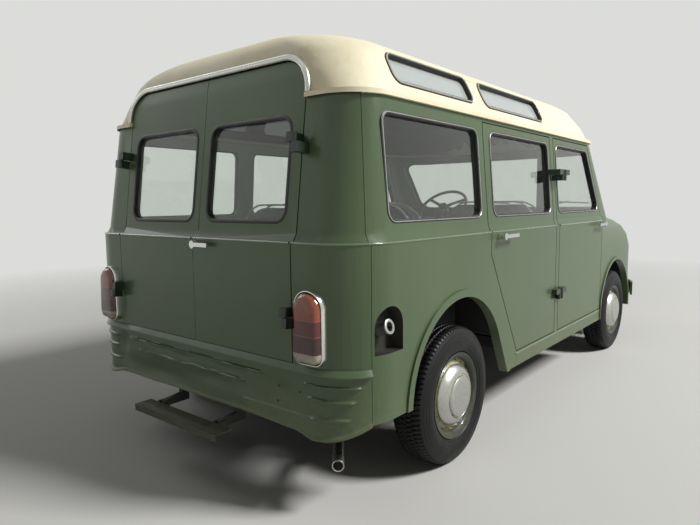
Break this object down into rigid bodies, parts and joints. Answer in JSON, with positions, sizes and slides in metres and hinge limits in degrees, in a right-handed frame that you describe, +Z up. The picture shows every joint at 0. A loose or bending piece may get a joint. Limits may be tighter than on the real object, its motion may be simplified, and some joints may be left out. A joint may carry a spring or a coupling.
{
  "type": "van ambulance",
  "caption": "Small rounded van ambulance with cream roof, corner roof windows, swinging doors, folding rear step, steering front wheels and freely turning wheels.",
  "frame": {"origin": "on the ground under the middle of the overall box", "axes": "+X forward, +Y to the vehicle's left, +Z up"},
  "size_m": [4.2698, 1.944, 1.9249],
  "materials": {
    "body_green": "satin olive green paint, dusty",
    "wheel_green": "satin olive green paint, worn",
    "roof_cream": "gloss cream paint, weathered",
    "window_glass": "clear window glass",
    "lamp_glass": "clear ribbed lamp glass",
    "lamp_red": "red and orange lamp lens",
    "bright_metal": "dull chrome",
    "chassis_black": "black chassis paint under dust",
    "exhaust_steel": "rusted steel pipe",
    "engine_iron": "cast iron block",
    "floor_paint": "green floor paint",
    "dash_plastic": "black plastic",
    "seat_vinyl": "black vinyl with white piping",
    "tyre_rubber": "black rubber with blocky tread"
  },
  "bodies": {
    "body": {"rear_corners": "body_green", "rear_skirt": "body_green", "side_panel_right": "body_green", "side_panel_left": "body_green", "side_frames": "body_green", "front_body": "body_green", "roof": "roof_cream", "fixed_glass": "window_glass", "skylight_glass": "window_glass", "headlamps": "lamp_glass", "tail_lamps": "lamp_red", "grille": "bright_metal", "front_bumper": "bright_metal", "chassis_frame": "chassis_black", "floor_pan": "floor_paint", "power_train": "engine_iron", "rear_axle": "chassis_black", "front_beam": "chassis_black", "suspension": "chassis_black", "exhaust": "exhaust_steel", "fuel_tank": "chassis_black", "step_brackets": "chassis_black", "dashboard": "dash_plastic", "seats": "seat_vinyl", "seat_frames": "chassis_black"},
    "rear_door_right": {"rear_door_right": "body_green", "rear_door_right_glass": "window_glass", "rear_handle": "bright_metal"},
    "rear_door_left": {"rear_door_left": "body_green", "rear_door_left_glass": "window_glass"},
    "side_door": {"side_door": "body_green", "side_door_glass": "window_glass"},
    "front_door_right": {"front_door_right": "body_green", "front_door_right_glass": "window_glass"},
    "front_door_left": {"front_door_left": "body_green", "front_door_left_glass": "window_glass"},
    "bonnet": {"bonnet": "body_green"},
    "rear_step": {"rear_step": "chassis_black"},
    "knuckle_right": {"knuckle_right": "chassis_black"},
    "knuckle_left": {"knuckle_left": "chassis_black"},
    "steering_wheel": {"steering_wheel": "dash_plastic"},
    "wheel_front_right": {"tyre_front_right": "tyre_rubber", "rim_front_right": "wheel_green"},
    "wheel_front_left": {"tyre_front_left": "tyre_rubber", "rim_front_left": "wheel_green"},
    "wheel_rear_right": {"tyre_rear_right": "tyre_rubber", "rim_rear_right": "wheel_green"},
    "wheel_rear_left": {"tyre_rear_left": "tyre_rubber", "rim_rear_left": "wheel_green"}
  },
  "joints": [
    {"name": "rear_door_right_hinge", "type": "hinge", "parent": "body", "child": "rear_door_right", "pos_m": [-2.00205, -0.615, 1.08], "axis": [0.1093, 0, 0.994], "range_deg": [0, 105]},
    {"name": "rear_door_left_hinge", "type": "hinge", "parent": "body", "child": "rear_door_left", "pos_m": [-2.00205, 0.615, 1.08], "axis": [-0.1093, 0, -0.994], "range_deg": [0, 105]},
    {"name": "side_door_hinge", "type": "hinge", "parent": "body", "child": "side_door", "pos_m": [-0.052, -0.95, 0.98], "axis": [0, 0, 1], "range_deg": [0, 75]},
    {"name": "front_door_right_hinge", "type": "hinge", "parent": "body", "child": "front_door_right", "pos_m": [-0.01, -0.95, 0.98], "axis": [0, 0, -1], "range_deg": [0, 75]},
    {"name": "front_door_left_hinge", "type": "hinge", "parent": "body", "child": "front_door_left", "pos_m": [-0.01, 0.95, 0.98], "axis": [0, 0, 1], "range_deg": [0, 75]},
    {"name": "bonnet_hinge", "type": "hinge", "parent": "body", "child": "bonnet", "pos_m": [1.415, 0, 1.0935], "axis": [0, -1, 0], "range_deg": [0, 50]},
    {"name": "rear_step_hinge", "type": "hinge", "parent": "body", "child": "rear_step", "pos_m": [-2.031, 0, 0.25], "axis": [0, 1, 0], "range_deg": [0, 90]},
    {"name": "steer_left", "type": "hinge", "parent": "body", "child": "knuckle_left", "pos_m": [1.295, 0.735, 0.313], "axis": [0, 0, 1], "range_deg": [-30, 30]},
    {"name": "steer_right", "type": "hinge", "parent": "body", "child": "knuckle_right", "pos_m": [1.295, -0.735, 0.313], "axis": [0, 0, 1], "range_deg": [-30, 30]},
    {"name": "steering_wheel_turn", "type": "hinge", "parent": "body", "child": "steering_wheel", "pos_m": [0.765, 0.33, 1.14], "axis": [-0.6428, 0, 0.766], "range_deg": [-395, 395]},
    {"name": "spin_front_left", "type": "hinge", "parent": "knuckle_left", "child": "wheel_front_left", "pos_m": [1.295, 0.846, 0.313], "axis": [0, 1, 0], "continuous": true},
    {"name": "spin_front_right", "type": "hinge", "parent": "knuckle_right", "child": "wheel_front_right", "pos_m": [1.295, -0.846, 0.313], "axis": [0, 1, 0], "continuous": true},
    {"name": "spin_rear_left", "type": "hinge", "parent": "body", "child": "wheel_rear_left", "pos_m": [-1.265, 0.846, 0.313], "axis": [0, 1, 0], "continuous": true},
    {"name": "spin_rear_right", "type": "hinge", "parent": "body", "child": "wheel_rear_right", "pos_m": [-1.265, -0.846, 0.313], "axis": [0, 1, 0], "continuous": true}
  ],
  "couplings": [
    {"joint": "steer_right", "follows": "steer_left", "ratio": 1},
    {"joint": "steering_wheel_turn", "follows": "steer_left", "ratio": 13}
  ]
}
